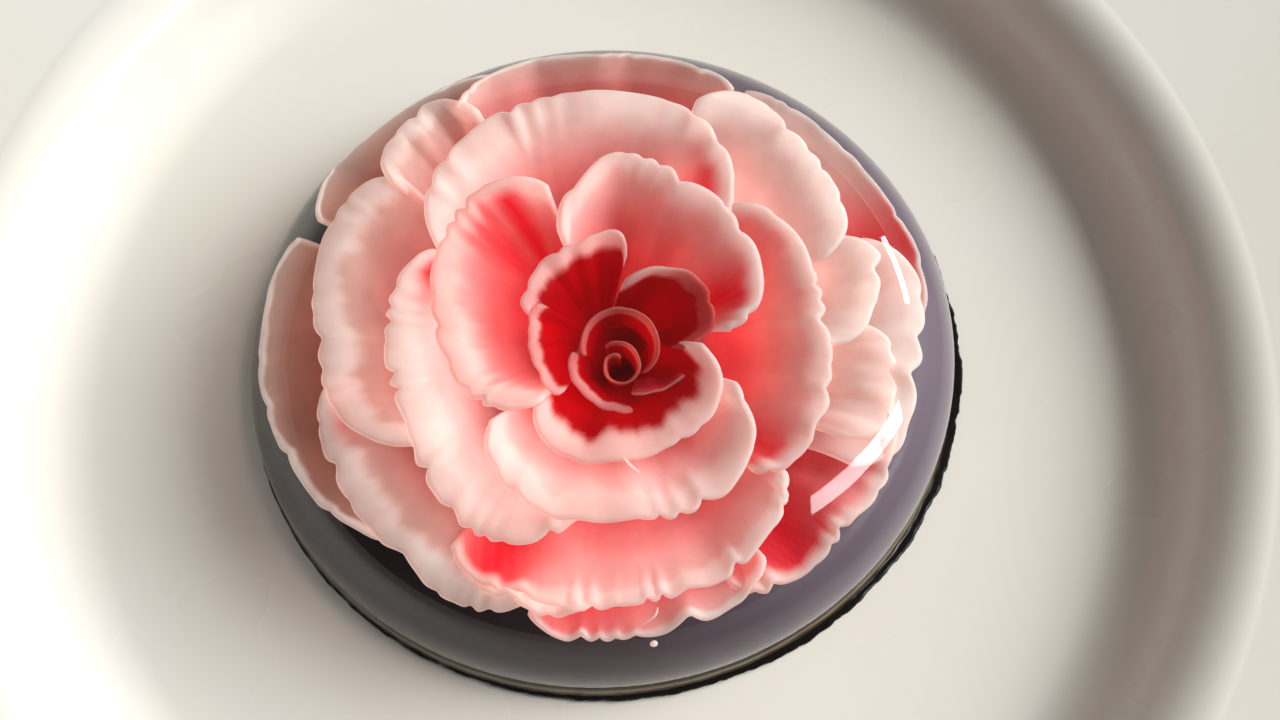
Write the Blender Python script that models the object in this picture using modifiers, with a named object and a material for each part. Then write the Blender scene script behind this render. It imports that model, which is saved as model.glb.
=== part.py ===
# Moulded jelly on its round plate: a clear oval dome on a thin dark backing layer.
# Metres, +Z up, the origin at the middle of the plate's foot, on the table.

import math

import bpy
from mathutils import Matrix, Vector, noise

GAP = 0.0003  # left between two pieces that touch

# Plate
PLATE_RADIUS = 0.135
FOOT_INNER, FOOT_OUTER = 0.071, 0.079
FOOT_HEIGHT = 0.0035
FOOT_FLARE = 0.0012  # the foot widens by this much where it joins the dish
PLATE_THICKNESS = 0.0045
WELL_RADIUS = 0.089  # where the flat floor starts to turn up
WALL_RADIUS = 0.110  # where the wall has turned over into the rim
WALL_RISE = 0.017
RIM_RISE = 0.006
LIP_RADIUS = 0.0017
WELL_TOP = FOOT_HEIGHT + PLATE_THICKNESS
PLATE_STEPS = 64

# Jelly: an oval of these half widths, a little behind the middle of the plate
JELLY_HALF_X, JELLY_HALF_Y = 0.060, 0.055
JELLY_CENTRE = Vector((0.0, 0.005, 0.0))
BACKING_HEIGHT = 0.0040
BACKING_OVERHANG = 0.0003  # its top edge stands out from the dome by this much
BACKING_FLARE = 0.0008  # and its foot by this much
BACKING_ROUND = 0.0009  # rounding of its top edge
FLASH_HEIGHT = 0.0009
FLASH_NARROW, FLASH_WIDE = 0.0005, 0.0021
FLASH_SLOPE = 0.75  # height of its outer edge, as a share of its inner one
FLASH_LEAN = 1.5  # more gathers its width towards the facing side
FLASH_RAGS = ((4.0, 0.28), (11.0, 0.22))  # waviness: scale round the foot, and strength
FLASH_FACING = math.radians(-25)  # the side where the flash is widest
DOME_HEIGHT = 0.034
DOME_SQUARENESS = 2.15  # 2 gives an ellipse; more gives fuller shoulders
JELLY_STEPS = 72
DOME_RINGS = 18

CERAMIC = (0.86, 0.85, 0.82, 1.0)
DARK_JELLY = (0.035, 0.028, 0.033, 1.0)
CLEAR_JELLY = (0.93, 0.90, 0.91, 0.35)


def clear_scene():
    for old in list(bpy.data.objects):
        bpy.data.objects.remove(old, do_unlink=True)


def new_collection(name):
    group = bpy.data.collections.new(name)
    bpy.context.scene.collection.children.link(group)
    return group


def new_material(name, colour, roughness, transmission=0.0):
    material = bpy.data.materials.new(name)
    material.use_nodes = True
    material.diffuse_color = colour
    shader = material.node_tree.nodes["Principled BSDF"]
    shader.inputs["Base Color"].default_value = colour
    shader.inputs["Roughness"].default_value = roughness
    shader.inputs["Metallic"].default_value = 0.0
    shader.inputs["Transmission Weight"].default_value = transmission
    return material


def arc(centre, radius, start, end, steps):
    """Points (r, z) along a circular arc, from one angle in degrees to another."""
    points = []
    for step in range(steps + 1):
        angle = math.radians(start + (end - start) * step / steps)
        points.append((centre[0] + radius * math.cos(angle), centre[1] + radius * math.sin(angle)))
    return points


def turned(name, profile, steps, group):
    """Turns a closed profile about Z. Its points (r, z) start and end on the axis, top to bottom."""
    mesh = bpy.data.meshes.new(name)
    edges = [(index, index + 1) for index in range(len(profile) - 1)]
    mesh.from_pydata([(r, 0.0, z) for r, z in profile], edges, [])
    piece = bpy.data.objects.new(name, mesh)
    group.objects.link(piece)
    screw = piece.modifiers.new("turn", "SCREW")
    screw.axis = "Z"
    screw.angle = math.tau
    screw.steps = steps
    screw.render_steps = steps
    screw.use_merge_vertices = True
    screw.merge_threshold = 0.00001
    return piece


def bake_modifiers(piece):
    depsgraph = bpy.context.evaluated_depsgraph_get()
    plain = bpy.data.meshes.new_from_object(piece.evaluated_get(depsgraph))
    piece.modifiers.clear()
    piece.data = plain


def smooth_faces(piece, angle):
    piece.data.shade_smooth()
    piece.data.set_sharp_from_angle(angle=math.radians(angle))


def wall_line(offset):
    """The wall of the dish from floor to rim, as an S of two arcs, moved outwards by offset."""
    run = WALL_RADIUS - WELL_RADIUS
    chord = math.atan2(WALL_RISE, run)
    radius = math.hypot(run, WALL_RISE) / (4 * math.sin(chord))
    steepest = math.degrees(2 * chord)
    low = (WELL_RADIUS, WELL_TOP + radius)
    high = (WALL_RADIUS, WELL_TOP + WALL_RISE - radius)
    foot = arc(low, radius + offset, -90, -90 + steepest, 6)
    head = arc(high, radius - offset, 90 + steepest, 90, 6)
    return foot + head[1:]


def plate(group):
    """A dish with a flat floor, a raised wall, a gently rising rim and a turned foot."""
    rim_height = WELL_TOP + WALL_RISE + RIM_RISE
    lip_centre = (PLATE_RADIUS - LIP_RADIUS, rim_height - LIP_RADIUS)
    slope = math.degrees(math.atan2(RIM_RISE, PLATE_RADIUS - WALL_RADIUS))
    lip = arc(lip_centre, LIP_RADIUS, 90 + slope, -90 + slope, 6)
    under = list(reversed(wall_line(PLATE_THICKNESS)))
    foot = [
        (FOOT_OUTER + FOOT_FLARE, FOOT_HEIGHT),
        (FOOT_OUTER, 0.0),
        (FOOT_INNER, 0.0),
        (FOOT_INNER - FOOT_FLARE, FOOT_HEIGHT),
    ]
    profile = [(0.0, WELL_TOP)] + wall_line(0.0) + lip + under + foot + [(0.0, FOOT_HEIGHT)]
    piece = turned("plate", profile, PLATE_STEPS, group)
    bake_modifiers(piece)
    smooth_faces(piece, 50)
    piece.data.materials.append(new_material("glazed_ceramic", CERAMIC, 0.12))
    return piece


def make_oval(piece, centre, height):
    """Squeezes a turned piece into the oval of the mould and sets it down at a height."""
    squeeze = Matrix.Diagonal((1.0, JELLY_HALF_Y / JELLY_HALF_X, 1.0, 1.0))
    piece.data.transform(squeeze)
    piece.data.transform(Matrix.Translation(centre + Vector((0.0, 0.0, height))))


def flash_width(angle):
    """How far the flash stands out: widest on one side, ragged all round."""
    lean = 0.5 + 0.5 * math.cos(angle - FLASH_FACING)
    broad = FLASH_NARROW + (FLASH_WIDE - FLASH_NARROW) * lean ** FLASH_LEAN
    spot = Vector((math.cos(angle), math.sin(angle), 0.0))
    ragged = sum(strength * noise.noise(spot * scale) for scale, strength in FLASH_RAGS)
    return broad * (1.0 + ragged)


def backing_jelly(group):
    """The dark layer that the dome stands on, with the flash of the mould's rim at its foot."""
    top_radius = JELLY_HALF_X + BACKING_OVERHANG
    foot_radius = JELLY_HALF_X + BACKING_FLARE
    flash_radius = foot_radius + FLASH_NARROW  # widened below, point by point
    profile = [
        (0.0, BACKING_HEIGHT),
        (top_radius - BACKING_ROUND, BACKING_HEIGHT),
        (top_radius, BACKING_HEIGHT - BACKING_ROUND),
        (foot_radius, FLASH_HEIGHT),
        (flash_radius, FLASH_HEIGHT * FLASH_SLOPE),
        (flash_radius, 0.0),
        (0.0, 0.0),
    ]
    piece = turned("backing_jelly", profile, JELLY_STEPS, group)
    bake_modifiers(piece)
    for vertex in piece.data.vertices:
        radius = math.hypot(vertex.co.x, vertex.co.y)
        if radius > foot_radius + FLASH_NARROW / 2:
            angle = math.atan2(vertex.co.y, vertex.co.x)
            wider = (foot_radius + flash_width(angle)) / radius
            vertex.co.x *= wider
            vertex.co.y *= wider
    make_oval(piece, JELLY_CENTRE, WELL_TOP + GAP)
    smooth_faces(piece, 40)
    piece.data.materials.append(new_material("dark_jelly", DARK_JELLY, 0.2))
    return piece


def clear_dome(group):
    """The clear jelly: an oval dome with full shoulders and upright sides at its foot."""
    power = 2.0 / DOME_SQUARENESS
    profile = [(0.0, DOME_HEIGHT)]
    for ring in range(1, DOME_RINGS + 1):
        angle = math.pi / 2 * (1.0 - ring / DOME_RINGS)
        radius = JELLY_HALF_X * math.cos(angle) ** power
        profile.append((radius, DOME_HEIGHT * math.sin(angle) ** power))
    profile.append((0.0, 0.0))
    piece = turned("clear_dome", profile, JELLY_STEPS, group)
    bake_modifiers(piece)
    make_oval(piece, JELLY_CENTRE, WELL_TOP + GAP + BACKING_HEIGHT + GAP)
    smooth_faces(piece, 50)
    piece.data.materials.append(new_material("clear_jelly", CLEAR_JELLY, 0.05, 1.0))
    return piece


def main():
    clear_scene()
    group = new_collection("moulded_jelly")
    plate(group)
    backing_jelly(group)
    clear_dome(group)


main()
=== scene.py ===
# Looks of the moulded jelly: a clear dome with a milk jelly rose sunk in it,
# on a dark backing layer, on a white dish. Sizes in the dictionaries are millimetres.

import math
import random

import bmesh
import bpy
import numpy as np
from mathutils import Matrix, Vector, noise


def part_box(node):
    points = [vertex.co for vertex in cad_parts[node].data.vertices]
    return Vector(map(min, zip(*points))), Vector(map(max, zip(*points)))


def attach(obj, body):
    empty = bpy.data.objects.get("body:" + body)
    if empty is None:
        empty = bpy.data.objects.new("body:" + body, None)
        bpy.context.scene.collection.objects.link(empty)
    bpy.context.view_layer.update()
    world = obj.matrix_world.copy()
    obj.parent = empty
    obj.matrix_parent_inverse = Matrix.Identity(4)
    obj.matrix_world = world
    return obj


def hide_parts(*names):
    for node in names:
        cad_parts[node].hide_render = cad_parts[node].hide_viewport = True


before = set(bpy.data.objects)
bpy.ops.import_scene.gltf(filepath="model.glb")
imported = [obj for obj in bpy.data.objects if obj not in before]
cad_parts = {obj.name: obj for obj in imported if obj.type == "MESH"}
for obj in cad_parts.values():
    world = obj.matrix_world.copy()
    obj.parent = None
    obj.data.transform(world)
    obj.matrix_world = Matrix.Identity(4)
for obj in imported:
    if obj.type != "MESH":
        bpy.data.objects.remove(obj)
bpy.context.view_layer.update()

mm = 0.001

# The dome's own measures come from the frame; only its squareness is repeated here
domeLow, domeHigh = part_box("clear_dome")
domeCentre = Vector(((domeLow.x + domeHigh.x) / 2, (domeLow.y + domeHigh.y) / 2, domeLow.z))
dome = {
    "halfX": (domeHigh.x - domeLow.x) / 2 / mm,
    "halfY": (domeHigh.y - domeLow.y) / 2 / mm,
    "height": (domeHigh.z - domeLow.z) / mm,
    "squareness": 2.15,  # 2 is an ellipse
    "rings": 72,
    "steps": 256,
    "sink": 0.15,  # how far the backing reaches up into the dome, so that no air shows
}


def srgb(red, green, blue):
    # a display colour from 0 to 255 as the linear colour that the nodes take
    linear = []
    for value in (red, green, blue):
        value = value / 255
        linear.append(value / 12.92 if value <= 0.04045 else ((value + 0.055) / 1.055) ** 2.4)
    return (*linear, 1.0)


def smoothStep(low, high, value):
    t = np.clip((value - low) / (high - low), 0.0, 1.0)
    return t * t * (3 - 2 * t)


def throughPoints(values, t):
    # smooth curve through evenly spaced values, with t from 0 to 1
    values = np.array(values, float)
    if len(values) == 1:
        return np.full_like(t, values[0])
    slopes = np.gradient(values)
    place = np.clip(t, 0, 1) * (len(values) - 1)
    index = np.minimum(place.astype(int), len(values) - 2)
    f = place - index
    a, b = values[index], values[index + 1]
    sa, sb = slopes[index], slopes[index + 1]
    return a + f * (sa + f * (3 * (b - a) - 2 * sa - sb + f * (2 * (a - b) + sa + sb)))


def wander(t, seed, slowest, layers=3):
    # smooth wandering line between about -1 and 1; slowest is waves per unit of t
    dice = random.Random(seed)
    total = np.zeros_like(t)
    for layer in range(layers):
        waves = slowest * 1.9 ** layer * dice.uniform(0.8, 1.2)
        total += np.sin(math.tau * (waves * t + dice.random())) / 1.6 ** layer
    return total / 1.8


def newPiece(name, vertices, faces, body="root"):
    mesh = bpy.data.meshes.new(name)
    mesh.from_pydata(vertices, [], faces)
    mesh.validate()
    mesh.shade_smooth()
    piece = bpy.data.objects.new(name, mesh)
    bpy.context.scene.collection.objects.link(piece)
    if body:
        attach(piece, body)
    return piece


def faceOutwards(piece):
    shape = bmesh.new()
    shape.from_mesh(piece.data)
    bmesh.ops.recalc_face_normals(shape, faces=shape.faces)
    shape.to_mesh(piece.data)
    shape.free()
    piece.data.shade_smooth()


def paintOn(piece, name, values):
    # one number for each vertex, which the materials read by its name
    layer = piece.data.attributes.new(name, "FLOAT", "POINT")
    layer.data.foreach_set("value", np.asarray(values, np.float32))


def turnedPiece(name, profile, steps):
    # turns points (r, z) in metres that start and end on the axis, top first
    vertices = [(0.0, 0.0, profile[0][1])]
    for r, z in profile[1:-1]:
        for step in range(steps):
            angle = math.tau * step / steps
            vertices.append((r * math.cos(angle), r * math.sin(angle), z))
    vertices.append((0.0, 0.0, profile[-1][1]))
    faces = []
    last = len(vertices) - 1
    for step in range(steps):
        after = (step + 1) % steps
        faces.append((0, 1 + step, 1 + after))
        for ring in range(len(profile) - 3):
            start = 1 + ring * steps
            faces.append((start + step, start + steps + step, start + steps + after, start + after))
        lowest = last - steps
        faces.append((last, lowest + after, lowest + step))
    return newPiece(name, vertices, faces)


def newMaterial(name):
    material = bpy.data.materials.new(name)
    material.use_nodes = True
    tree = material.node_tree
    return material, tree, tree.nodes["Principled BSDF"]


def addNode(tree, kind, **settings):
    node = tree.nodes.new(kind)
    for key, value in settings.items():
        setattr(node, key, value)
    return node


def cloudGroup():
    # soft cloudy unevenness, built once and placed in every material with its own values
    group = bpy.data.node_groups.get("cloudy_unevenness")
    if group:
        return group
    group = bpy.data.node_groups.new("cloudy_unevenness", "ShaderNodeTree")
    for name, value in (("Scale", 10.0), ("Detail", 3.0), ("Least", 0.0), ("Most", 1.0)):
        socket = group.interface.new_socket(name=name, in_out="INPUT", socket_type="NodeSocketFloat")
        socket.default_value = value
    for name in ("Value", "Height"):
        group.interface.new_socket(name=name, in_out="OUTPUT", socket_type="NodeSocketFloat")
    entry = group.nodes.new("NodeGroupInput")
    result = group.nodes.new("NodeGroupOutput")
    coordinates = group.nodes.new("ShaderNodeTexCoord")
    texture = group.nodes.new("ShaderNodeTexNoise")
    spread = group.nodes.new("ShaderNodeMapRange")
    spread.interpolation_type = "SMOOTHSTEP"
    spread.inputs["From Min"].default_value = 0.3
    spread.inputs["From Max"].default_value = 0.7
    group.links.new(coordinates.outputs["Object"], texture.inputs["Vector"])
    group.links.new(entry.outputs["Scale"], texture.inputs["Scale"])
    group.links.new(entry.outputs["Detail"], texture.inputs["Detail"])
    group.links.new(texture.outputs["Fac"], spread.inputs["Value"])
    group.links.new(entry.outputs["Least"], spread.inputs["To Min"])
    group.links.new(entry.outputs["Most"], spread.inputs["To Max"])
    group.links.new(spread.outputs["Result"], result.inputs["Value"])
    group.links.new(texture.outputs["Fac"], result.inputs["Height"])
    return group


def addCloud(tree, scale, detail=3.0, least=0.0, most=1.0):
    node = addNode(tree, "ShaderNodeGroup", node_tree=cloudGroup())
    for name, value in (("Scale", scale), ("Detail", detail), ("Least", least), ("Most", most)):
        node.inputs[name].default_value = value
    return node.outputs


def addRange(tree, socket, low, high, newLow, newHigh):
    node = addNode(tree, "ShaderNodeMapRange")
    for index, value in enumerate((low, high, newLow, newHigh)):
        node.inputs[index + 1].default_value = value
    tree.links.new(socket, node.inputs[0])
    return node.outputs["Result"]


def addMix(tree, factor, first, second, blend="MIX"):
    node = addNode(tree, "ShaderNodeMix", data_type="RGBA", blend_type=blend)
    for socket, value in ((node.inputs[0], factor), (node.inputs[6], first), (node.inputs[7], second)):
        if isinstance(value, bpy.types.NodeSocket):
            tree.links.new(value, socket)
        else:
            socket.default_value = value
    return node.outputs[2]


def addBump(tree, shader, height, strength, distance):
    bump = addNode(tree, "ShaderNodeBump")
    bump.inputs["Strength"].default_value = strength
    bump.inputs["Distance"].default_value = distance
    tree.links.new(height, bump.inputs["Height"])
    tree.links.new(bump.outputs["Normal"], shader.inputs["Normal"])


plateSettings = {
    "glaze": srgb(234, 233, 228),
    "glazeWarm": srgb(231, 229, 219),
    "roughness": (0.26, 0.36),
    "steps": 192,
    "lip": 1.7,  # radius of the rolled edge
    "thickness": 4.5,
    "footHeight": 3.5,
    "footInner": 71.0,
    "footOuter": 79.0,
    "footEdge": 1.2,
    "wellRadius": 89.0,
    "wallRadius": 110.0,
    "wallRise": 17.0,
    "rimRise": 6.0,
    "curveSteps": 16,  # in each bend of the wall
    "waver": 0.48,  # how far a fired dish is out of true at its rim
    "waverSize": 60.0,
}


def arcPoints(centre, radius, start, end, steps):
    points = []
    for step in range(steps + 1):
        angle = math.radians(start + (end - start) * step / steps)
        points.append((centre[0] + radius * math.cos(angle), centre[1] + radius * math.sin(angle)))
    return points


def wallPoints(offset, floorTop):
    # the wall of the dish as an S of two arcs, moved outwards by offset
    run = plateSettings["wallRadius"] - plateSettings["wellRadius"]
    rise = plateSettings["wallRise"]
    chord = math.atan2(rise, run)
    radius = math.hypot(run, rise) / (4 * math.sin(chord))
    steepest = math.degrees(2 * chord)
    low = (plateSettings["wellRadius"], floorTop + radius)
    high = (plateSettings["wallRadius"], floorTop + rise - radius)
    steps = plateSettings["curveSteps"]
    foot = arcPoints(low, radius + offset, -90, -90 + steepest, steps)
    head = arcPoints(high, radius - offset, 90 + steepest, 90, steps)
    return foot + head[1:]


def makePlate():
    settings = plateSettings
    low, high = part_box("plate")
    radius = (high.x - low.x) / 2 / mm
    floorTop = settings["footHeight"] + settings["thickness"]
    rimHeight = floorTop + settings["wallRise"] + settings["rimRise"]
    slope = math.degrees(math.atan2(settings["rimRise"], radius - settings["wallRadius"]))
    lipCentre = (radius - settings["lip"], rimHeight - settings["lip"])
    floorRings = [(settings["wellRadius"] * part, floorTop) for part in (0.25, 0.5, 0.75, 0.9)]
    lip = arcPoints(lipCentre, settings["lip"], 90 + slope, -90 + slope, 12)
    under = list(reversed(wallPoints(settings["thickness"], floorTop)))
    foot = [
        (settings["footOuter"] + settings["footEdge"], settings["footHeight"]),
        (settings["footOuter"], settings["footEdge"] / 2),
        (settings["footOuter"] - settings["footEdge"], 0.0),
        (settings["footInner"] + settings["footEdge"], 0.0),
        (settings["footInner"], settings["footEdge"] / 2),
        (settings["footInner"] - settings["footEdge"], settings["footHeight"]),
    ]
    profile = [(0.0, floorTop)] + floorRings + wallPoints(0.0, floorTop) + lip + under + foot
    profile.append((0.0, settings["footHeight"]))
    piece = turnedPiece("dish", [(r * mm, z * mm) for r, z in profile], settings["steps"])
    for vertex in piece.data.vertices:
        r = math.hypot(vertex.co.x, vertex.co.y)
        spot = Vector((vertex.co.x, vertex.co.y, 0)) / (settings["waverSize"] * mm)
        outer = max(0.0, (r - settings["wellRadius"] * mm) / (radius * mm))
        vertex.co.z += settings["waver"] * mm * noise.noise(spot) * outer
    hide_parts("plate")
    piece.data.set_sharp_from_angle(angle=math.radians(50))
    piece.data.materials.append(makeGlaze())
    return piece


def makeGlaze():
    material, tree, shader = newMaterial("white_glaze")
    patch = addCloud(tree, 14.0)["Value"]
    colour = addMix(tree, patch, plateSettings["glaze"], plateSettings["glazeWarm"])
    tree.links.new(colour, shader.inputs["Base Color"])
    rough = addCloud(tree, 40.0, 2.0, *plateSettings["roughness"])["Value"]
    tree.links.new(rough, shader.inputs["Roughness"])
    addBump(tree, shader, addCloud(tree, 26.0, 1.0)["Height"], 0.12, 0.0006)
    shader.inputs["IOR"].default_value = 1.5
    return material


backingSettings = {
    "dark": srgb(22, 16, 20),
    "paintedLitSide": srgb(124, 120, 136),  # painted light: the top is painted lighter on the side that faces the key lamp
    "paintedLitFacing": 10,  # degrees from +X
    "paintedLitGather": 2.0,  # more keeps it closer to that side
    "side": srgb(84, 70, 50),
    "streak": srgb(128, 112, 86),
    "black": srgb(18, 13, 12),
    "bands": ((0.28, "black"), (0.42, "side"), (0.6, "streak"), (0.75, "side"), (0.93, "black")),
    "roughness": (0.12, 0.26),
    "flare": 1.5,  # its foot stands out from the dome by this much
    "edge": 0.9,  # from the rim of its top to where the rounding starts
    "shoulder": ((-0.25, -0.1), (0.2, -0.45), (0.6, -1.2)),  # out from the dome, down from its foot
    "waist": (-0.4, -2.4),  # the same, but out from its own foot
    "flashHeight": 0.9,
    "flashNarrow": 0.3,
    "flashWide": 1.6,
    "flashFacing": -25,  # the side where the flash is widest, degrees from +X
    "flashRagged": ((4.0, 0.28), (11.0, 0.22), (38.0, 0.20), (90.0, 0.08)),  # fineness, strength
    "flashDrop": (0.0, 0.15, 0.45),  # how far the flash falls away as it goes out
    "lump": 0.45,
    "wobble": 0.12,  # unevenness of the side above the flash
    "steps": 720,
}


def flashWidth(angle):
    settings = backingSettings
    lean = 0.5 + 0.5 * math.cos(angle - math.radians(settings["flashFacing"]))
    broad = settings["flashNarrow"] + (settings["flashWide"] - settings["flashNarrow"]) * lean ** 1.5
    spot = Vector((math.cos(angle), math.sin(angle), 0.0))
    ragged = 0.0
    for fineness, strength in settings["flashRagged"]:
        ragged += strength * noise.noise(spot * fineness)
    return broad * (1.0 + ragged)


def makeBacking():
    settings = backingSettings
    low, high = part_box("backing_jelly")
    bottom = (low.z - domeCentre.z) / mm
    top = dome["sink"]
    foot = dome["halfX"] + settings["flare"]
    edge = settings["edge"]
    squeeze = dome["halfY"] / dome["halfX"]
    profile = [(0.0, top), (dome["halfX"] * 0.6, top), (dome["halfX"] - edge, top)]
    profile += [(dome["halfX"] + out, down) for out, down in settings["shoulder"]]
    profile.append((foot + settings["waist"][0], settings["waist"][1]))
    profile.append((foot, bottom + settings["flashHeight"]))
    skirt = len(profile) - 1  # the rings after this one are the flash
    profile += [(foot, bottom + settings["flashHeight"])] * 3 + [(foot, bottom)] * 2
    profile.append((0.0, bottom))
    piece = turnedPiece("backing_layer", profile, settings["steps"])
    heights, paintedLitSides = [], []
    for index, vertex in enumerate(piece.data.vertices):
        ring = (index - 1) // settings["steps"] + 1
        radius = math.hypot(vertex.co.x, vertex.co.y)
        if radius > 1:
            angle = math.atan2(vertex.co.y, vertex.co.x)
            spot = Vector((math.cos(angle), math.sin(angle), 0.0))
            width = flashWidth(angle)
            lift = settings["lump"] * noise.noise(spot * 30.0 + Vector((0, 0, ring)))
            share = {skirt + 1: 0.35, skirt + 2: 0.75, skirt + 3: 1.0, skirt + 4: 1.0}.get(ring, 0.0)
            grown = (radius + width * share) / radius
            if 5 <= ring <= skirt:
                uneven = noise.noise(spot * 14.0 + Vector((0, 0, ring * 0.7)))
                grown += settings["wobble"] * uneven / radius
            vertex.co.x *= grown
            vertex.co.y *= grown
            if skirt < ring <= skirt + 3:
                drop = settings["flashDrop"][ring - skirt - 1] * settings["flashHeight"]
                vertex.co.z += lift * (0.5 + share * 0.4) - drop
                vertex.co.z = max(vertex.co.z, bottom + 0.1)
        vertex.co.y *= squeeze
        heights.append(min(1.0, max(0.0, (vertex.co.z - bottom) / (top - bottom))))
        # painted light: the top grows lighter towards the side that faces the key lamp
        facing = math.atan2(vertex.co.y, vertex.co.x) - math.radians(settings["paintedLitFacing"])
        paintedLitSides.append((0.5 + 0.5 * math.cos(facing)) ** settings["paintedLitGather"] if radius > 1 else 0.5)
        vertex.co = domeCentre + vertex.co * mm
    paintOn(piece, "height", heights)
    paintOn(piece, "paintedLitSide", paintedLitSides)
    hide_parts("backing_jelly")
    piece.data.materials.append(makeDarkJelly())
    return piece


def makeDarkJelly():
    settings = backingSettings
    material, tree, shader = newMaterial("dark_jelly_layer")
    height = addNode(tree, "ShaderNodeAttribute", attribute_name="height")
    ramp = addNode(tree, "ShaderNodeValToRGB")
    ramp.color_ramp.elements[0].position = 0.05
    ramp.color_ramp.elements[0].color = settings["black"]
    ramp.color_ramp.elements[1].position = 1.0
    ramp.color_ramp.elements[1].color = settings["dark"]
    for position, colour in settings["bands"]:
        element = ramp.color_ramp.elements.new(position)
        element.color = settings[colour]
    tree.links.new(height.outputs["Fac"], ramp.inputs["Fac"])
    upper = addRange(tree, height.outputs["Fac"], 0.93, 1.0, 0.0, 1.0)
    # painted light: the top is mixed towards a lighter grey on the side that faces the key lamp
    paintedLitSide = addNode(tree, "ShaderNodeAttribute", attribute_name="paintedLitSide")
    share = addNode(tree, "ShaderNodeMath", operation="MULTIPLY")
    tree.links.new(paintedLitSide.outputs["Fac"], share.inputs[0])
    tree.links.new(upper, share.inputs[1])
    paintedLitColour = addMix(tree, share.outputs[0], ramp.outputs["Color"], settings["paintedLitSide"])
    cloud = addCloud(tree, 45.0, 2.0, 0.9, 1.08)["Value"]
    colour = addMix(tree, 1.0, paintedLitColour, cloud, "MULTIPLY")
    tree.links.new(colour, shader.inputs["Base Color"])
    rough = addCloud(tree, 90.0, 2.0, *settings["roughness"])["Value"]
    dull = addNode(tree, "ShaderNodeMath", operation="MAXIMUM")  # no gloss where the dome covers it
    tree.links.new(rough, dull.inputs[0])
    tree.links.new(upper, dull.inputs[1])
    tree.links.new(dull.outputs[0], shader.inputs["Roughness"])
    addBump(tree, shader, addCloud(tree, 120.0, 1.0)["Height"], 0.04, 0.0003)
    shader.inputs["IOR"].default_value = 1.36
    return material


clearSettings = {
    "tint": (0.985, 0.965, 0.965, 1.0),
    "shadow": (0.88, 0.86, 0.84, 1.0),  # lamp light that crosses the dome's skin
    "ior": 1.35,
    "roughness": (0.0, 0.012),
}


def domeTop(x, y, depth):
    # height of the dome's skin over its foot at x, y, for a skin moved inwards by depth
    power = dome["squareness"]
    reach = np.hypot(x / (dome["halfX"] - depth), y / (dome["halfY"] - depth))
    return (dome["height"] - depth) * (1 - np.clip(reach, 0, 0.9995) ** power) ** (1 / power)


def makeDome():
    profile = []
    for ring in range(dome["rings"] + 1):
        angle = math.pi / 2 * (1.0 - ring / dome["rings"])
        radius = dome["halfX"] * max(0.0, math.cos(angle)) ** (2 / dome["squareness"])
        height = dome["height"] * max(0.0, math.sin(angle)) ** (2 / dome["squareness"])
        profile.append((radius if ring else 0.0, height))
    profile += [(dome["halfX"] * part, 0.0) for part in (0.99, 0.66, 0.33)]
    profile.append((0.0, 0.0))
    piece = turnedPiece("clear_jelly_dome", profile, dome["steps"])
    for vertex in piece.data.vertices:
        vertex.co.y *= dome["halfY"] / dome["halfX"]
        vertex.co = domeCentre + vertex.co * mm
    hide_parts("clear_dome")
    piece.data.set_sharp_from_angle(angle=math.radians(50))
    piece.data.materials.append(makeClearJelly())
    return piece


def makeClearJelly():
    settings = clearSettings
    material, tree, shader = newMaterial("clear_jelly")
    shader.inputs["Base Color"].default_value = settings["tint"]
    shader.inputs["Transmission Weight"].default_value = 1.0
    shader.inputs["IOR"].default_value = settings["ior"]
    rough = addCloud(tree, 90.0, 3.0, *settings["roughness"])["Value"]
    tree.links.new(rough, shader.inputs["Roughness"])
    addBump(tree, shader, addCloud(tree, 40.0, 1.0)["Height"], 0.05, 0.0003)
    clear = addNode(tree, "ShaderNodeBsdfTransparent")
    clear.inputs["Color"].default_value = settings["shadow"]
    path = addNode(tree, "ShaderNodeLightPath")
    surface = shader.outputs[0]
    for ray in ("Is Shadow Ray", "Is Diffuse Ray"):  # so that light reaches the petals inside
        mix = addNode(tree, "ShaderNodeMixShader")
        tree.links.new(path.outputs[ray], mix.inputs[0])
        tree.links.new(surface, mix.inputs[1])
        tree.links.new(clear.outputs[0], mix.inputs[2])
        surface = mix.outputs[0]
    tree.links.new(surface, tree.nodes["Material Output"].inputs["Surface"])
    return material


# What a petal has when its own row says nothing else. turn is the stretch it covers, in
# degrees from +X; reach is how far its lip stands from the middle, at even steps along it.
petalDefaults = {
    "middle": (0.0, 0.0),
    "under": 2.0,  # lip to the dome's skin
    "band": 4.0,  # width of the pale lip
    "root": 0.55,  # where it leaves the backing, as a share of its reach
    "rise": 0.0,  # height at which it starts
    "thick": 1.3,
    "scallop": 0.8,
    "period": 5.0,  # from one scallop to the next
    "rib": 0.05,
    "wave": 0.6,
    "corner": 0.22,
    "hug": 0.5,  # 1 lets the top of the petal follow the dome's skin, 0 leaves it level
    "belly": 0.72,  # more makes the face shallow near the lip and steep at the root
    "pale": (1.0,),  # how pale the lip is, along it
    "soft": 0.55,  # how slowly the pale lip turns into the face
    "lipBlush": 0.12,
    "pleat": 0.15,  # how much pinker the lip is between its ribs
    "blush": 0.4,  # pink of its face
    "deep": 0.0,  # crimson of its face
    "paintedShadeAndSeeThrough": 0.0,  # painted shade: browner, darker colour of petals away from the key lamp; it also makes them partly see-through
    "stains": (),  # (place along it 0 to 1, half width, strength)
}

# Petals given a shade value have painted shade: browner and darker, mostly on the side away from the
# key lamp, and partly see-through
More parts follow.
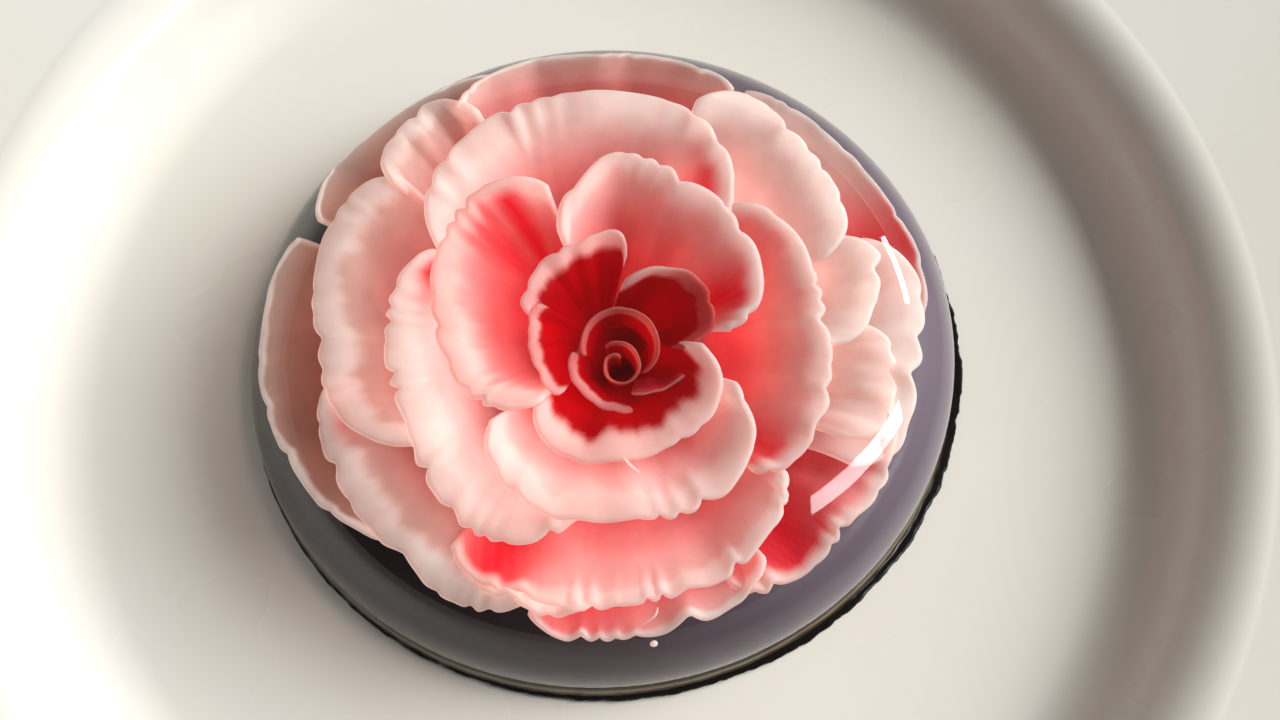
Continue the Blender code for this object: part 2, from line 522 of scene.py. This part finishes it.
petals = [
    # bud
    {"name": "bud_core", "middle": (2.0, -6.3), "turn": (70, 480),
     "reach": (1.5, 2.3, 3.0, 3.4, 3.7), "under": 9.8, "band": 0.3, "root": 0.75, "rise": 14,
     "thick": 0.4, "scallop": 0.15, "rib": 0.0, "wave": 0.2, "pale": (0.0, 0.0, 0.05, 0.05, 0.0),
     "lipBlush": 1.0, "blush": 1.0, "deep": 1.0},
    {"name": "bud_ring", "middle": (2.6, -3.9), "turn": (-52, 186),
     "reach": (5.6, 5.9, 6.1, 6.2, 6.1), "under": 9.0, "band": 0.5, "root": 0.66, "rise": 12,
     "thick": 0.42, "scallop": 0.1, "rib": 0.0, "wave": 0.1, "pale": (0.0, 0.0, 0.1, 0.15, 0.1),
     "lipBlush": 1.0, "blush": 1.0, "deep": 1.0},
    {"name": "bud_crescent", "middle": (3.5, -4.5), "turn": (175, 280),
     "reach": (9.0, 9.3, 9.3, 9.4, 9.7), "under": 9.0, "band": 0.8, "root": 0.5, "rise": 10,
     "thick": 0.55, "scallop": 0.15, "rib": 0.0, "wave": 0.2, "pale": (0.2, 0.5, 0.55, 0.4, 0.1),
     "lipBlush": 0.9, "blush": 1.0, "deep": 1.0},
    {"name": "bud_flap", "middle": (6.0, -2.0), "turn": (-106, -26),
     "reach": (9.8, 9.3, 9.0, 9.6, 11.5), "under": 8.4, "band": 0.4, "root": 0.4, "rise": 10,
     "thick": 0.5, "scallop": 0.2, "rib": 0.0, "wave": 0.4, "pale": (0.0, 0.1, 0.05, 0.0),
     "lipBlush": 1.0, "blush": 1.0, "deep": 0.8, "stains": ((0.5, 0.8, 1.0),)},
    {"name": "bud_heart", "middle": (2.6, -5.0), "turn": (0, 360), "reach": (7.0, 7.0, 7.0),
     "under": 15, "band": 0.5, "root": 0.05, "rise": 8, "thick": 0.6, "scallop": 0.0, "rib": 0.0,
     "wave": 0.0, "corner": 0.0, "pale": (0.0,), "lipBlush": 1.0, "blush": 1.0, "deep": 1.0},
    # inner petals
    {"name": "petal_01", "turn": (-24, 56), "reach": (14.5, 17.0, 16.6, 13.0, 8.0), "under": 7,
     "band": 1.3, "root": 0.2, "rise": 8, "thick": 0.8, "scallop": 0.4, "rib": 0.0,
     "pale": (0.0, 0.0, 0.05, 0.8, 0.9), "lipBlush": 0.5, "blush": 1.0, "deep": 1.0, "soft": 0.4},
    {"name": "petal_02", "turn": (64, 174), "reach": (15.8, 13.3, 12.4, 12.5, 12.8), "under": 5,
     "band": 1.8, "root": 0.2, "rise": 8, "thick": 0.9, "scallop": 0.4, "rib": 0.0,
     "pale": (0.7, 1.0, 1.0, 1.0, 0.8), "soft": 0.4, "lipBlush": 0.45, "blush": 0.9, "deep": 1.0,
     "corner": 0.4},
    {"name": "petal_02_fold", "turn": (158, 238), "reach": (10.4, 10.8, 11.4, 12.6, 13.6),
     "under": 5.6, "band": 0.9, "root": 0.2, "rise": 8, "thick": 0.7, "scallop": 0.3, "rib": 0.0,
     "pale": (0.5, 0.8, 0.7, 0.8, 0.9), "lipBlush": 0.6, "blush": 0.9, "deep": 1.0},
    {"name": "petal_03", "turn": (-133, -18), "reach": (19.5, 21.2, 21.2, 21.8, 19.0), "under": 5,
     "band": 3.4, "root": 0.2, "rise": 8, "scallop": 0.35, "rib": 0.1, "soft": 0.3,
     "lipBlush": 0.3, "blush": 0.7, "deep": 1.0, "period": 6.0},
    {"name": "petal_04", "turn": (-10, 110), "reach": (23.5, 26.2, 26.2, 26.8, 18.5), "under": 4,
     "band": 3.6, "root": 0.3, "rise": 4, "lipBlush": 0.2, "blush": 0.7, "deep": 0.15,
     "stains": ((0.14, 0.11, 1.0),), "soft": 0.5},
    {"name": "petal_05", "turn": (105, 230), "reach": (27.5, 28.4, 25.6, 23.2, 19.0), "under": 4,
     "band": 4.6, "root": 0.35, "rise": 3, "lipBlush": 0.25, "blush": 0.9, "deep": 0.25,
     "stains": ((0.13, 0.05, 1.0), (0.24, 0.08, 0.8)), "soft": 0.5},
    {"name": "petal_06", "turn": (-143, -30), "reach": (26.5, 29.5, 30.0, 31.6, 26.5), "under": 3,
     "band": 4.6, "root": 0.4, "blush": 0.6, "lipBlush": 0.18, "scallop": 1.0, "period": 6.0,
     "soft": 0.4},
    {"name": "petal_07", "turn": (-50, 38), "reach": (35.5, 36.5, 34.2, 33.4, 31.0), "under": 3,
     "band": 3.8, "root": 0.45, "blush": 0.75, "deep": 0.0,
     "stains": ((0.08, 0.10, 0.9), (0.85, 0.2, 0.4)), "rib": 0.12, "pleat": 0.3, "lipBlush": 0.2},
    # middle petals
    {"name": "petal_08", "turn": (36, 150), "reach": (31.5, 38.3, 39.2, 37.8, 32.5), "under": 3,
     "band": 6.5, "root": 0.5, "rib": 0.32, "period": 5.8, "blush": 0.45,
     "stains": ((0.10, 0.07, 0.9),), "lipBlush": 0.12, "hug": 0.8, "pleat": 0.5},
    {"name": "petal_09", "turn": (150, 262), "reach": (33.0, 32.4, 33.4, 36.4, 31.5), "under": 3,
     "band": 5.5, "root": 0.5, "blush": 0.28, "stains": ((0.05, 0.1, 1.0),), "scallop": 0.9,
     "period": 4.6, "hug": 0.7, "soft": 0.45},
    {"name": "petal_10", "turn": (136, 210), "reach": (46.0, 46.8, 44.2, 42.2, 36.5),
     "under": 2.5, "band": 6.0, "root": 0.6, "blush": 0.3, "paintedShadeAndSeeThrough": 0.45, "hug": 0.7},
    {"name": "petal_11", "turn": (-130, -44), "reach": (43.0, 42.3, 41.8, 41.6, 38.5),
     "under": 2.5, "band": 3.0, "root": 0.5, "blush": 0.65, "stains": ((0.12, 0.14, 1.0),),
     "scallop": 0.8, "period": 4.6, "soft": 0.35},
    {"name": "petal_12", "turn": (113, 139), "reach": (45.5, 49.0, 48.4, 47.5, 44.5),
     "under": 2.5, "band": 5.0, "root": 0.7, "blush": 0.35, "paintedShadeAndSeeThrough": 0.35, "hug": 0.8},
    {"name": "petal_13", "turn": (12, 63), "reach": (41.5, 43.6, 44.8, 46.8, 46.5), "under": 2,
     "band": 6.0, "root": 0.55, "blush": 0.05, "lipBlush": 0.1, "hug": 0.8},
    {"name": "petal_14", "turn": (-12, 17), "reach": (37.5, 41.0, 43.4, 45.2, 43.3), "under": 2,
     "band": 5.5, "root": 0.6, "blush": 0.06, "lipBlush": 0.1},
    # outer petals
    {"name": "petal_15", "turn": (-34, 15), "reach": (48.6, 50.2, 50.2, 51.8, 49.5), "under": 1.5,
     "band": 6.5, "root": 0.6, "period": 13, "scallop": 1.2, "blush": 0.12, "lipBlush": 0.12},
    {"name": "petal_16", "turn": (-30, -3), "reach": (45.0, 46.5, 46.5, 45.5, 44.0), "under": 3.5,
     "band": 7.0, "root": 0.6, "period": 12, "scallop": 0.8, "blush": 0.08, "lipBlush": 0.15},
    {"name": "petal_17", "turn": (-69, -20), "reach": (46.5, 48.4, 48.2, 49.5, 49.0),
     "under": 1.5, "band": 3.6, "root": 0.55, "blush": 0.95,
     "stains": ((0.3, 0.3, 1.0), (0.75, 0.2, 0.5)), "lipBlush": 0.25},
    {"name": "petal_18", "turn": (-1, 55), "reach": (53.4, 53.0, 51.4, 50.5, 49.8), "under": 1.0,
     "band": 1.4, "root": 0.68, "thick": 0.9, "scallop": 0.4, "blush": 0.4,
     "stains": ((0.25, 0.2, 0.9),)},
    {"name": "petal_19", "turn": (57, 117), "reach": (48.8, 50.0, 49.6, 50.3, 46.5), "under": 1.0,
     "band": 1.6, "root": 0.66, "thick": 0.9, "scallop": 0.4, "blush": 0.85, "paintedShadeAndSeeThrough": 0.25},
    {"name": "petal_20", "turn": (107, 152), "reach": (50.5, 52.8, 53.7, 54.6, 51.0),
     "under": 1.0, "band": 1.4, "root": 0.68, "thick": 0.9, "scallop": 0.4, "blush": 0.3,
     "paintedShadeAndSeeThrough": 0.9},
    {"name": "petal_21", "turn": (155, 219), "reach": (54.5, 55.3, 54.4, 51.2, 47.5),
     "under": 1.0, "band": 1.8, "root": 0.66, "thick": 0.9, "scallop": 0.5, "blush": 0.3,
     "paintedShadeAndSeeThrough": 0.85},
    {"name": "petal_22", "turn": (-175, -106), "reach": (46.5, 46.2, 46.1, 46.4, 44.5),
     "under": 2, "band": 5.5, "root": 0.6, "blush": 0.4, "paintedShadeAndSeeThrough": 0.45,
     "stains": ((0.1, 0.08, 0.5),), "hug": 0.7},
    {"name": "petal_23", "turn": (-110, -60), "reach": (46.5, 46.9, 46.5, 46.5, 45.0),
     "under": 1.5, "band": 1.6, "root": 0.6, "thick": 1.0, "blush": 1.0,
     "stains": ((0.2, 0.3, 0.6),)},
    {"name": "petal_24", "turn": (-121, -96), "reach": (44.5, 43.2, 43.7, 43.5, 42.0), "under": 2,
     "band": 2.0, "root": 0.7, "blush": 0.4},
]

milkSettings = {
    "lip": srgb(255, 244, 239),
    "face": srgb(244, 146, 149),
    "stain": srgb(240, 40, 66),
    "deep": srgb(186, 0, 16),
    # painted shade: the brown of petals on the side away from the key lamp
    "paintedShadeAndSeeThrough": srgb(184, 138, 120),
    "seeThrough": 0.35,  # how see-through a petal is where its painted shade is full
    "subsurface": 1.0,
    "scatterRadius": (1.0, 0.5, 0.4),
    "scatterScale": 0.004,
    "translucent": 0.4,  # share of the look that is light from behind
    "letThrough": (0.84, 0.80, 0.80, 1.0),  # lamp light that crosses one skin of a petal
    "roughness": 0.38,
    "faceThick": 0.75,  # below the lip
    "cover": 0.5,  # least clear jelly over any petal
    "columnWidth": 0.45,
    "rows": 26,
    "rowGather": 1.5,  # more brings the rows closer together at the lip
    "shoulder": 1.4,  # where the petal turns over, in widths of its pale lip
    "bellyOut": 0.4,  # how far out its belly is, from root to shoulder
}


def petalShape(petal, seed):
    # the petal's middle surface as a grid of points in millimetres, with its lip distance
    start, end = petal["turn"]
    sweep = math.radians(abs(end - start))
    length = sweep * sum(petal["reach"]) / len(petal["reach"])
    columns = max(24, int(length / milkSettings["columnWidth"]))
    t = np.linspace(0, 1, columns)
    q = np.linspace(0, 1, milkSettings["rows"])
    s = 1 - (1 - q) ** milkSettings["rowGather"]
    t, s = np.meshgrid(t, s)

    turns = np.radians(start + (end - start) * t)
    count = max(2, length / petal["period"])
    beat = count * t + 0.9 * wander(t, seed + 11, count / 6, 2)
    lobe = np.abs(np.sin(math.pi * beat)) ** 0.9
    size = np.clip(0.85 + 1.2 * wander(t, seed + 12, count / 3, 2), 0.1, 2.2)
    notch = petal["scallop"] * (1 - lobe) * size * smoothStep(0.35, 1.0, s) ** 3
    reach = throughPoints(petal["reach"], t) + 0.5 * petal["wave"] * wander(t, seed + 13, 3, 2)

    side = np.abs(2 * t - 1)
    fall = 1 - petal["corner"] * side ** 7  # the lip comes down only close to its ends
    upward = s * fall
    lipReach = reach - notch
    shoulderReach = reach - petal["band"] * milkSettings["shoulder"]
    rootReach = petal["root"] * reach

    def height(r):
        x = petal["middle"][0] + r * np.cos(turns)
        y = petal["middle"][1] + r * np.sin(turns)
        return domeTop(x, y, petal["under"])

    lipHeight = height(lipReach)
    shoulderHeight = lipHeight + petal["hug"] * (height(shoulderReach) - lipHeight)
    bellyReach = rootReach + milkSettings["bellyOut"] * (shoulderReach - rootReach)
    bellyHeight = petal["rise"] + petal["belly"] * (lipHeight - petal["rise"])
    knots = (
        (rootReach, np.full_like(t, petal["rise"])),
        (bellyReach, bellyHeight),
        (shoulderReach, shoulderHeight),
        (lipReach, lipHeight),
    )
    a = (1 - upward) ** 3
    b = 3 * (1 - upward) ** 2 * upward
    c = 3 * (1 - upward) * upward ** 2
    d = upward ** 3
    r = a * knots[0][0] + b * knots[1][0] + c * knots[2][0] + d * knots[3][0]
    z = a * knots[0][1] + b * knots[1][1] + c * knots[2][1] + d * knots[3][1]
    x = petal["middle"][0] + r * np.cos(turns)
    y = petal["middle"][1] + r * np.sin(turns)
    points = np.stack([x, y, z], -1)

    steps = np.linalg.norm(np.diff(points, axis=0), axis=-1)
    climb = np.vstack([np.zeros((1, columns)), np.cumsum(steps, axis=0)])
    fromLip = climb[-1:] - climb
    fromSide = np.minimum(t, 1 - t) * length
    normals = gridNormals(points)
    ribs = petal["rib"] * (lobe - 0.6) * size * (1 - smoothStep(0, petal["band"] * 1.5, fromLip))
    fade = 1 - smoothStep(2, 16, fromLip)  # the face goes flat away from the lip
    waves = 0.5 * petal["wave"] * wander(t + 0.1 * s, seed + 14, 2.0, 2) * fade
    points = points + normals * (ribs + waves)[..., None]
    return points, t, fromLip, fromSide, lobe


def gridNormals(points):
    along = np.gradient(points, axis=1)
    up = np.gradient(points, axis=0)
    normals = np.cross(along, up)
    return normals / np.maximum(np.linalg.norm(normals, axis=-1, keepdims=True), 1e-9)


def petalMasks(petal, seed, t, fromLip, fromSide, lobe):
    # where the petal is pale, pink or red, and where it has painted shade and turns see-through; each
    # from 0 to 1
    uneven = 0.28 * wander(t, seed + 21, 3) + 0.09 * wander(t, seed + 22, 9)
    band = petal["band"] * (1 + uneven)
    blend = 0.5 * petal["soft"]
    lip = 1 - smoothStep((0.9 - blend) * band, (0.9 + blend) * band, fromLip)
    lip = np.maximum(lip, 0.7 * (1 - smoothStep(0.2, 1.3, fromSide)))
    lip = lip * throughPoints(petal["pale"], t) * (1 - petal["pleat"] * (1 - lobe))
    streaks = 0.5 + 0.5 * wander(t + 0.02 * fromLip / petal["band"], seed + 23, 26, 2)
    stain = np.zeros_like(t)
    for place, halfWidth, strength in petal["stains"]:
        spot = strength * np.exp(-(((t - place) / halfWidth) ** 2))
        spot = spot * smoothStep(0.25, 0.9, fromLip / band)
        stain = np.maximum(stain, spot * (0.92 + 0.08 * streaks))
    inward = smoothStep(0.6 * petal["band"], 0.6 * petal["band"] + 9, fromLip)
    blush = petal["blush"] * (0.6 + 0.4 * inward) * (0.92 + 0.1 * streaks)
    blush = blush * (1 - lip) + petal["lipBlush"] * lip
    deep = petal["deep"] * smoothStep(0.9 * band, (0.9 + petal["soft"]) * band + 1.0, fromLip)
    deep = np.maximum(deep, petal["deep"] * (1 - throughPoints(petal["pale"], t)) * 0.8)
    stain = np.maximum(stain, 0.85 * petal["blush"] * smoothStep(6, 22, fromLip))
    # painted shade, kept off the pale lip; the same mask sets how see-through the petal is
    return {"blush": blush, "stain": stain, "deep": deep, "paintedShadeAndSeeThrough": petal["paintedShadeAndSeeThrough"] * (1 - lip)}


def makePetal(petal, seed, material):
    petal = {**petalDefaults, **petal}
    points, t, fromLip, fromSide, lobe = petalShape(petal, seed)
    normals = gridNormals(points)
    rows, columns = t.shape
    thin = milkSettings["faceThick"]
    atLip = 1 - smoothStep(0.6 * petal["band"], 1.6 * petal["band"], fromLip)
    thick = np.minimum(thin + (petal["thick"] - thin) * atLip, petal["thick"])
    thick = thick * (0.95 + 0.1 * lobe)
    edge = petal["thick"] * 0.5
    for distance in (fromLip, fromSide):
        roll = np.clip(1 - distance / edge, 0, 1)
        thick = thick * np.sqrt(np.maximum(1 - roll ** 2, 0.02))
    inner = points + normals * (thick / 2)[..., None]
    outer = points - normals * (thick / 2)[..., None]
    for skin in (outer, inner):
        limits = domeTop(skin[..., 0], skin[..., 1], milkSettings["cover"])
        skin[..., 2] = np.minimum(skin[..., 2], limits)
    vertices = np.concatenate([inner.reshape(-1, 3), outer.reshape(-1, 3)]) * mm
    vertices[:, 2] = np.maximum(vertices[:, 2], 0.0)
    vertices = vertices + np.array(domeCentre)
    index = np.arange(rows * columns).reshape(rows, columns)
    other = index + rows * columns
    faces = []
    for row in range(rows - 1):
        for column in range(columns - 1):
            corners = (row, column), (row, column + 1), (row + 1, column + 1), (row + 1, column)
            faces.append(tuple(int(index[c]) for c in corners))
            faces.append(tuple(int(other[c]) for c in reversed(corners)))
    border = [(0, c) for c in range(columns)]
    border += [(r, columns - 1) for r in range(1, rows)]
    border += [(rows - 1, c) for c in range(columns - 2, -1, -1)]
    border += [(r, 0) for r in range(rows - 2, 0, -1)]
    for place, here in enumerate(border):
        after = border[(place + 1) % len(border)]
        faces.append((int(index[after]), int(index[here]), int(other[here]), int(other[after])))
    piece = newPiece(petal["name"], vertices.tolist(), faces)
    faceOutwards(piece)
    for name, mask in petalMasks(petal, seed, t, fromLip, fromSide, lobe).items():
        paintOn(piece, name, np.tile(mask.reshape(-1), 2))
    piece.data.materials.append(material)
    return piece


def makeMilkJelly():
    settings = milkSettings
    material, tree, shader = newMaterial("milk_jelly_petal")
    masks = {}
    for name in ("blush", "stain", "deep", "paintedShadeAndSeeThrough"):
        masks[name] = addNode(tree, "ShaderNodeAttribute", attribute_name=name).outputs["Fac"]
    colour = addMix(tree, masks["blush"], settings["lip"], settings["face"])
    # painted shade: the face is mixed towards brown where the shade mask is set
    colour = addMix(tree, masks["paintedShadeAndSeeThrough"], colour, settings["paintedShadeAndSeeThrough"])
    colour = addMix(tree, masks["stain"], colour, settings["stain"])
    colour = addMix(tree, masks["deep"], colour, settings["deep"])
    mottle = addCloud(tree, 180.0, 4.0, 0.93, 1.05)["Value"]
    colour = addMix(tree, 1.0, colour, mottle, "MULTIPLY")
    tree.links.new(colour, shader.inputs["Base Color"])
    solid = addRange(tree, masks["paintedShadeAndSeeThrough"], 0.0, 1.0, 1.0, 1.0 - settings["seeThrough"])
    tree.links.new(solid, shader.inputs["Alpha"])
    shader.inputs["Roughness"].default_value = settings["roughness"]
    shader.inputs["Subsurface Weight"].default_value = settings["subsurface"]
    shader.inputs["Subsurface Radius"].default_value = settings["scatterRadius"]
    shader.inputs["Subsurface Scale"].default_value = settings["scatterScale"]
    shader.inputs["Specular IOR Level"].default_value = 0.1
    addBump(tree, shader, addCloud(tree, 420.0, 3.0)["Height"], 0.2, 0.0003)
    behind = addNode(tree, "ShaderNodeBsdfTranslucent")
    tree.links.new(colour, behind.inputs["Color"])
    both = addNode(tree, "ShaderNodeMixShader")
    both.inputs[0].default_value = settings["translucent"]
    tree.links.new(shader.outputs[0], both.inputs[1])
    tree.links.new(behind.outputs[0], both.inputs[2])
    glow = addNode(tree, "ShaderNodeBsdfTransparent")
    glow.inputs["Color"].default_value = settings["letThrough"]
    path = addNode(tree, "ShaderNodeLightPath")
    mix = addNode(tree, "ShaderNodeMixShader")
    tree.links.new(path.outputs["Is Shadow Ray"], mix.inputs[0])
    tree.links.new(both.outputs[0], mix.inputs[1])
    tree.links.new(glow.outputs[0], mix.inputs[2])
    tree.links.new(mix.outputs[0], tree.nodes["Material Output"].inputs["Surface"])
    return material


# Bits of milk jelly that came off a lip: places as (degrees from +X, distance from the middle,
# depth under the dome's skin), with the thickness halfway along
drips = {
    "milk_bead": {"path": ((-86.3, 47.2, 1.9), (-86.0, 47.6, 1.7), (-85.7, 47.9, 1.9)), "thick": 1.2},
    "milk_wisp_1": {"path": ((-86, 20.6, 4.6), (-84, 22.0, 3.6), (-81, 23.4, 3.8)), "thick": 0.35},
    "milk_wisp_2": {"path": ((-84, 42.4, 2.6), (-85, 43.8, 1.6), (-88, 44.9, 1.5)), "thick": 0.35},
}


def makeDrip(name, settings, material, steps=24, sides=12):
    path = []
    for turn, distance, depth in settings["path"]:
        x = distance * math.cos(math.radians(turn))
        y = distance * math.sin(math.radians(turn))
        path.append((x, y, float(domeTop(x, y, depth))))
    t = np.linspace(0, 1, steps)
    points = np.stack([throughPoints([spot[axis] for spot in path], t) for axis in range(3)], -1)
    along = np.gradient(points, axis=0)
    along = along / np.linalg.norm(along, axis=1, keepdims=True)
    across = np.cross(along, (0.0, 0.0, 1.0))
    across = across / np.linalg.norm(across, axis=1, keepdims=True)
    upward = np.cross(across, along)
    vertices, faces = [], []
    for step in range(steps):
        swell = math.sqrt(max(0.0, 1 - (2 * t[step] - 1) ** 2))
        radius = max(0.02, settings["thick"] / 2 * swell)
        for side in range(sides):
            angle = math.tau * side / sides
            out = math.cos(angle) * across[step] + math.sin(angle) * upward[step]
            vertices.append(tuple(domeCentre + Vector(points[step] + radius * out) * mm))
    for step in range(steps - 1):
        for side in range(sides):
            after = (side + 1) % sides
            low, high = step * sides, (step + 1) * sides
            faces.append((low + side, low + after, high + after, high + side))
    faces.append(tuple(range(sides)))
    faces.append(tuple(reversed(range((steps - 1) * sides, steps * sides))))
    piece = newPiece(name, vertices, faces)
    faceOutwards(piece)
    for mask in ("blush", "stain", "deep", "paintedShadeAndSeeThrough"):
        paintOn(piece, mask, np.zeros(len(vertices)))
    piece.data.materials.append(material)


def makeRose():
    material = makeMilkJelly()
    for number, petal in enumerate(petals):
        makePetal(petal, 100 + 37 * number, material)
    print("petals made:", len(petals))
    for name, settings in drips.items():
        makeDrip(name, settings, material)
    print("drips made:", len(drips))


stageSettings = {
    "floor": srgb(226, 224, 220),
    "floorRoughness": 0.7,
    "floorHalf": 1.5,  # metres, as all distances in this dictionary
    "floorGap": 0.0002,
    "fill": (1.0, 0.955, 0.90, 1.0),
    "fillStrength": 0.18,
    "keyTurn": 13,  # degrees from +X
    "keyHeight": 31,
    "keyDistance": 1.6,
    "keySize": 1.12,
    "keyPower": 47.0,
    "keyColour": (1.0, 0.99, 0.97),
    "windows": (  # turn, height, width, length, tilt, power; only their glints show
        (19, 4, 0.03, 0.13, 0, 0.25),
        (-26, 17, 0.06, 0.30, -33, 1.1),
    ),
    "windowDistance": 0.5,
    "windowColour": (0.93, 0.96, 1.0),
}

cameraSettings = {
    "place": (0.0, -43.31, 203.77),  # from the middle of the dome's foot
    "aim": (6.14, -0.55, 0.0),
    "roll": 2.54,
    "lens": 33.75,
    "sensor": 36.0,
}


def makeFloor():
    size = stageSettings["floorHalf"]
    vertices = [(-size, -size, 0), (size, -size, 0), (size, size, 0), (-size, size, 0)]
    floor = newPiece("floor", vertices, [(0, 1, 2, 3)], body=None)
    floor.location.z = -stageSettings["floorGap"]
    material, tree, shader = newMaterial("pale_floor")
    patch = addCloud(tree, 6.0, 3.0, 0.97, 1.03)["Value"]
    colour = addMix(tree, 1.0, stageSettings["floor"], patch, "MULTIPLY")
    tree.links.new(colour, shader.inputs["Base Color"])
    shader.inputs["Roughness"].default_value = stageSettings["floorRoughness"]
    floor.data.materials.append(material)


def placeLamp(name, turn, height, distance, width, length, power, colour):
    data = bpy.data.lights.new(name, "AREA")
    data.shape = "RECTANGLE"
    data.size = width
    data.size_y = length
    data.energy = power
    data.color = colour
    lamp = bpy.data.objects.new(name, data)
    bpy.context.scene.collection.objects.link(lamp)
    turn, height = math.radians(turn), math.radians(height)
    level = Vector((math.cos(turn), math.sin(turn), 0.0)) * math.cos(height)
    way = level + Vector((0.0, 0.0, math.sin(height)))
    lamp.location = domeCentre + way * distance
    lamp.rotation_mode = "QUATERNION"
    lamp.rotation_quaternion = (-way).to_track_quat("-Z", "Y")
    return lamp


def makeLights():
    settings = stageSettings
    key = placeLamp("key_window", settings["keyTurn"], settings["keyHeight"],
                    settings["keyDistance"], settings["keySize"], settings["keySize"],
                    settings["keyPower"], settings["keyColour"])
    key.visible_glossy = False
    for number, (turn, height, width, length, tilt, power) in enumerate(settings["windows"]):
        window = placeLamp(f"window_{number}", turn, height, settings["windowDistance"],
                           length, width, power, settings["windowColour"])
        leaned = Matrix.Rotation(math.radians(tilt), 3, "Z").to_quaternion()
        window.rotation_quaternion = window.rotation_quaternion @ leaned
        window.visible_diffuse = False
    world = bpy.data.worlds.new("soft_room")
    bpy.context.scene.world = world
    world.use_nodes = True
    background = world.node_tree.nodes["Background"]
    background.inputs["Color"].default_value = settings["fill"]
    background.inputs["Strength"].default_value = settings["fillStrength"]


def makeCamera():
    data = bpy.data.cameras.new("camera")
    data.lens = cameraSettings["lens"]
    data.sensor_width = cameraSettings["sensor"]
    data.clip_start = 0.01
    camera = bpy.data.objects.new("camera", data)
    bpy.context.scene.collection.objects.link(camera)
    place = domeCentre + Vector(cameraSettings["place"]) * mm
    aim = domeCentre + Vector(cameraSettings["aim"]) * mm
    turned = (aim - place).to_track_quat("-Z", "Y").to_matrix().to_4x4()
    camera.matrix_world = Matrix.Translation(place) @ turned @ Matrix.Rotation(
        math.radians(cameraSettings["roll"]), 4, "Z")
    bpy.context.scene.camera = camera


bpy.context.scene.view_settings.view_transform = "Standard"
makePlate()
print("dish made")
makeBacking()
makeDome()
print("clear and dark jelly made")
makeRose()
makeFloor()
makeLights()
makeCamera()
print("floor, light and camera set")
